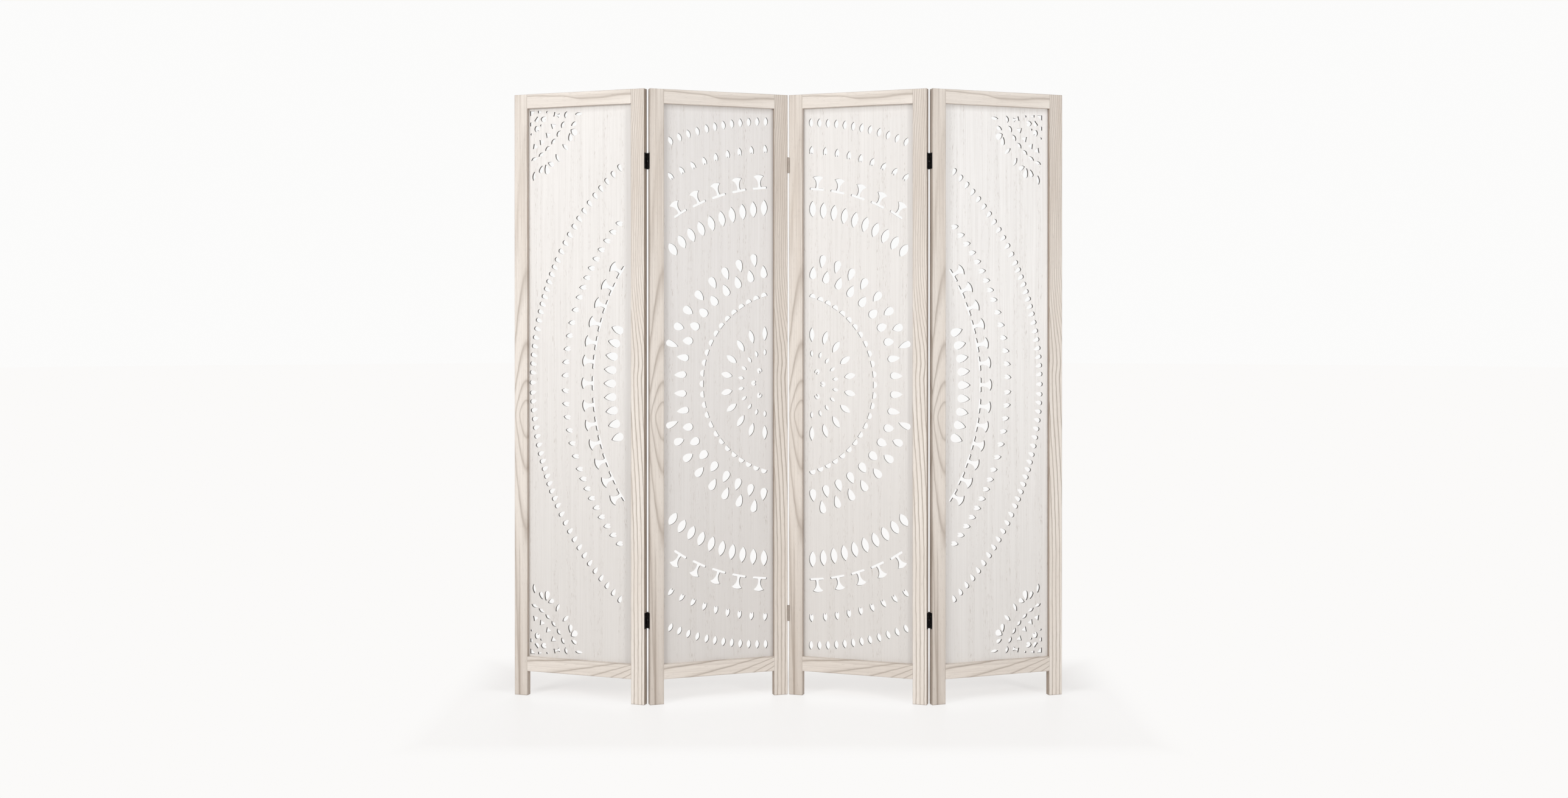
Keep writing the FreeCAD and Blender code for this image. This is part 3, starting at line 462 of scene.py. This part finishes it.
def panel_board(leaf):
    """Whitewashed thin board with faint upright grain. Its cut edges are bare and darker. Painted shade
    darkens its lower part, and painted shadow darkens a band along the frame.
    """
    maker = Maker(f"panel_{leaf}")
    x, y, z = leaf_space(maker, leaf)

    def grain(name, across, seed=0.0):
        fine, through, long, detail, roughness = PANEL_GRAIN[name]
        upward = maker.add(maker.times(z, long), seed)
        place = maker.vector(maker.times(across, fine), maker.times(y, through), upward)
        return maker.noise(place, detail, roughness)

    lean = maker.add(x, maker.times(grain("slow", x, leaf * PANEL_SEED_STEP), PANEL_LEAN))
    streak, broad, dash = (grain(name, lean) for name in ("streak", "broad", "dash"))
    colour = maker.mix(maker.span(broad, *BROAD_BANDS), PANEL_TINTS[leaf], PANEL_STREAK_AND_SHADE)
    # Painted shade: the panel darker towards the bottom, where less light falls
    colour = maker.mix(maker.ease(z, *PAINTED_SHADE_BELOW), colour, PANEL_STREAK_AND_SHADE)
    colour = maker.mix(maker.span(streak, *FINE_LINES), colour, PANEL_STREAK_AND_SHADE)
    dashes = maker.times(maker.span(dash, *DASHES), maker.span(broad, *DASH_BANDS))
    colour = maker.mix(dashes, colour, WOOD_DARK)

    # Painted shadow of the top rail and the stiles on the panel, along the frame
    left, right = PAINTED_SHADOW_SIDES[leaf]
    painted_shadow = maker.span(maker.less(LEAF_H - TOP_RAIL_H, z), *PAINTED_SHADOW_TOP, 0.0)
    painted_shadow = maker.larger(painted_shadow, maker.span(maker.less(x, STILE_W), *left, 0.0))
    painted_shadow = maker.larger(painted_shadow, maker.span(maker.less(LEAF_W - STILE_W, x), *right, 0.0))
    colour = maker.mix(painted_shadow, colour, PANEL_PAINTED_SHADOW)

    back = PANEL_RECESS + PANEL_T
    behind_front = maker.span(y, PANEL_RECESS + BARE_FROM, PANEL_RECESS + BARE_FULL)
    before_back = maker.span(y, back - BARE_FULL, back - BARE_FROM, 1.0, 0.0)
    cut = maker.mix(maker.span(dash, *CUT_MARKS), CUT_EDGE, WOOD_PORE_AND_SHADE)
    colour = maker.mix(maker.times(behind_front, before_back), colour, cut)

    height = maker.add(streak, maker.times(maker.span(dash, *DASH_PITS), DASH_HEIGHT))
    return maker.finish(colour, maker.span(streak, *PANEL_ROUGHNESS), height, PANEL_RELIEF)


# For each metal: its colour, its worn colour, how metallic it is, its lowest and highest roughness
METALS = {
    "black_hinge": ((15, 13, 13), (46, 40, 37), 0.30, 0.42, 0.60),
    "taupe_hinge": ((176, 166, 156), (150, 138, 126), 0.25, 0.40, 0.55),
    "pin_steel": ((205, 205, 204), (160, 158, 154), 1.0, 0.22, 0.36),
    "screw_steel": ((120, 116, 112), (80, 74, 68), 0.9, 0.34, 0.50),
}
WEAR_SCALE = 160.0
WEAR_DETAIL = 4.0
SPECK_SCALE = 1400.0
SPECK_DETAIL = 3.0
WEAR = (0.35, 0.75, 0.0, 0.5)
SPECKS = (0.6, 0.8, 0.0, 0.35)
METAL_RELIEF = 0.00005

# The dowels' wood: changes to a metre along and across the grain, detail, lowest and highest roughness
DOWEL_LONG = 60.0
DOWEL_FINE = 900.0
DOWEL_DETAIL = 3.0
DOWEL_ROUGHNESS = (0.5, 0.65)
DOWEL_RELIEF = 0.0001

# The middle part of a noise, where a tone or a roughness changes
MOST_OF_NOISE = (0.3, 0.7)


def metal(name):
    colour, worn_colour, metallic, smoothest, roughest = METALS[name]
    maker = Maker(name)
    place = maker.place()
    broad = maker.noise(place, WEAR_DETAIL, scale=WEAR_SCALE)
    fine = maker.noise(place, SPECK_DETAIL, scale=SPECK_SCALE)
    maker.shader.inputs["Metallic"].default_value = metallic
    tone = maker.mix(maker.span(broad, *WEAR), colour, worn_colour)
    speckled = maker.mix(maker.span(fine, *SPECKS), tone, worn_colour)
    roughness = maker.span(broad, *MOST_OF_NOISE, smoothest, roughest)
    return maker.finish(speckled, roughness, fine, METAL_RELIEF)


def dowel_wood():
    maker = Maker("dowel_wood")
    x, y, z = maker.split(maker.place())
    across = (maker.times(y, DOWEL_FINE), maker.times(z, DOWEL_FINE))
    lines = maker.noise(maker.vector(maker.times(x, DOWEL_LONG), *across), DOWEL_DETAIL)
    colour = maker.mix(maker.span(lines, *MOST_OF_NOISE), DOWEL_LIGHT, DOWEL_DARK)
    roughness = maker.span(lines, *MOST_OF_NOISE, *DOWEL_ROUGHNESS)
    return maker.finish(colour, roughness, lines, DOWEL_RELIEF)


def dress(node, material):
    made = frame["nodes"][node]
    made.data.materials.clear()
    made.data.materials.append(material)


metals = {name: metal(name) for name in METALS}
dowel = dowel_wood()
for leaf in TURN:
    for part in BOARDS:
        dress(f"leaf_{leaf}_{part}", frame_wood(leaf, part))
    dress(f"leaf_{leaf}_panel", panel_board(leaf))
    dress(f"leaf_{leaf}_dowels", dowel)
for node in frame["nodes"]:
    if node.startswith("hinge"):
        if "_plate_" in node:
            dress(node, metals["taupe_hinge" if node.startswith("hinge_2_3") else "black_hinge"])
        elif "_screws_" in node:
            dress(node, metals["screw_steel"])
        else:
            dress(node, metals["pin_steel"])


# Plain pale floor that runs out into a white backdrop

FLOOR_RADII = (1.0, 2.0, 4.0, 8.0, 40.0)
FLOOR_SIDES = 64
FLOOR_ROUGHNESS = 0.32
FLOOR_WHITE = (0.965, 0.955, 0.945, 1.0)
BACKDROP_WHITE = (0.970, 0.968, 0.962, 1.0)

# How white the floor is at least, and where it turns whiter, as: from, to, and how much at each. The
# first three lie behind, beside and before the screen, the last one just in front of the leaves.
WHITE_LEAST = 0.34
WHITE_BEHIND = (0.20, 0.58, 0.0, 1.0)
WHITE_BESIDE = (0.74, 1.00, 0.0, 1.0)
WHITE_BEFORE = (-0.60, -0.20, 1.0, 0.0)
WHITE_AT_LEAVES = (-0.02, 0.10, 0.72, 0.0)


def camera_side(tree):
    """1 for what the camera sees straight, in a reflection or through a clear thing."""
    rays = tree.nodes.new("ShaderNodeLightPath").outputs
    total = rays["Is Camera Ray"]
    for name in ("Is Glossy Ray", "Is Transmission Ray"):
        either = tree.nodes.new("ShaderNodeMath")
        either.operation = "MAXIMUM"
        tree.links.new(total, either.inputs[0])
        tree.links.new(rays[name], either.inputs[1])
        total = either.outputs[0]
    return total


def floor_disc():
    """Flat round floor of rings, with a whole face in the middle."""
    mesh = bmesh.new()
    rings = []
    for radius in FLOOR_RADII:
        angles = [math.tau * i / FLOOR_SIDES for i in range(FLOOR_SIDES)]
        rings.append([mesh.verts.new((radius * math.cos(a), radius * math.sin(a), 0.0)) for a in angles])
    mesh.faces.new(rings[0])
    for inner, outer in zip(rings, rings[1:]):
        for i in range(FLOOR_SIDES):
            j = (i + 1) % FLOOR_SIDES
            mesh.faces.new((inner[i], outer[i], outer[j], inner[j]))
    made = bpy.data.meshes.new("floor")
    mesh.to_mesh(made)
    mesh.free()
    return made


def floor_look():
    """A pale floor in the light, partly plain white to the camera."""
    maker = Maker("floor")
    maker.feed(maker.shader.inputs["Base Color"], rgba(FLOOR_PALE))
    maker.feed(maker.shader.inputs["Roughness"], FLOOR_ROUGHNESS)
    x, y, z = maker.split(maker.place())
    aside = maker.size(x)
    from_ridge = maker.size(maker.less(aside, JOINT_AT["fold_3_4"][0]))
    leaf_line = maker.add(maker.times(from_ridge, math.tan(math.radians(TURN[2]))), cad_box[0][1])
    whiter = maker.ease(y, *WHITE_BEHIND)
    whiter = maker.larger(whiter, maker.ease(aside, *WHITE_BESIDE))
    whiter = maker.larger(whiter, maker.ease(y, *WHITE_BEFORE))
    whiter = maker.larger(whiter, maker.ease(maker.less(y, leaf_line), *WHITE_AT_LEAVES))
    share = maker.times(maker.span(whiter, 0.0, 1.0, WHITE_LEAST, 1.0), camera_side(maker.tree))
    white = maker.node("ShaderNodeEmission", {"Color": FLOOR_WHITE, "Strength": 1.0})
    blend = maker.node("ShaderNodeMixShader", {0: share, 1: maker.shader.outputs[0], 2: white.outputs[0]})
    maker.feed(maker.tree.nodes["Material Output"].inputs["Surface"], blend.outputs[0])
    return maker.material


floor = bpy.data.objects.new("floor", floor_disc())
bpy.context.scene.collection.objects.link(floor)
floor.data.materials.append(floor_look())

# The world lights the screen evenly from all sides, and the camera sees it as a plain backdrop
AMBIENT = 0.40
AMBIENT_COLOUR = (1.0, 0.995, 0.99, 1.0)
world = bpy.data.worlds.new("studio")
bpy.context.scene.world = world
world.use_nodes = True
sky = world.node_tree
sky.nodes.clear()
ambient = sky.nodes.new("ShaderNodeBackground")
ambient.inputs["Color"].default_value = AMBIENT_COLOUR
ambient.inputs["Strength"].default_value = AMBIENT
plain = sky.nodes.new("ShaderNodeBackground")
plain.inputs["Color"].default_value = BACKDROP_WHITE
plain.inputs["Strength"].default_value = 1.0
chosen = sky.nodes.new("ShaderNodeMixShader")
sky.links.new(camera_side(sky), chosen.inputs[0])
sky.links.new(ambient.outputs[0], chosen.inputs[1])
sky.links.new(plain.outputs[0], chosen.inputs[2])
sky.links.new(chosen.outputs[0], sky.nodes.new("ShaderNodeOutputWorld").inputs["Surface"])

# For each round lamp: where it hangs and what it points at in metres, how wide it is, and its watts
LAMPS = {
    "left": ((-3.8, -3.9, 2.9), (0.0, 0.0, 1.0), 2.4, 126.0),
    "right": ((2.9, -3.0, 1.6), (0.0, 0.0, 1.0), 0.6, 39.0),
    "back": ((0.0, 4.6, 3.6), (0.0, 0.0, 0.8), 3.0, 70.0),
}
for name, (place, target, width, watts) in LAMPS.items():
    light = bpy.data.lights.new(name, "AREA")
    light.shape = "DISK"
    light.size = width
    light.energy = watts
    lamp = bpy.data.objects.new(name, light)
    lamp.location = place
    to = [b - a for a, b in zip(place, target)]
    tilt = math.atan2(math.hypot(to[0], to[1]), -to[2])
    lamp.rotation_euler = (tilt, 0.0, math.atan2(to[0], -to[1]) + math.pi)
    bpy.context.scene.collection.objects.link(lamp)

# The camera stands where the photograph was taken from
SENSOR = 36.0
IMAGE_W = 2576
FOCAL_PX = 2512.1
CENTRE_PX = (1288.0, 655.5)
AXIS_PX = (1297.0, 542.3)
CAMERA_AT = (0.0032, -4.2828, 1.0441)
CAMERA_DOWN = 0.0024
VIEW_END = 200.0
camera_data = bpy.data.cameras.new("camera")
camera_data.sensor_width = SENSOR
camera_data.lens = FOCAL_PX / IMAGE_W * SENSOR
camera_data.shift_x = (CENTRE_PX[0] - AXIS_PX[0]) / IMAGE_W
camera_data.shift_y = (AXIS_PX[1] - CENTRE_PX[1]) / IMAGE_W
camera_data.clip_end = VIEW_END
camera = bpy.data.objects.new("camera", camera_data)
camera.location = CAMERA_AT
camera.rotation_euler = (math.pi / 2 - CAMERA_DOWN, 0.0, 0.0)
bpy.context.scene.collection.objects.link(camera)
bpy.context.scene.camera = camera
bpy.context.scene.view_settings.view_transform = "Standard"
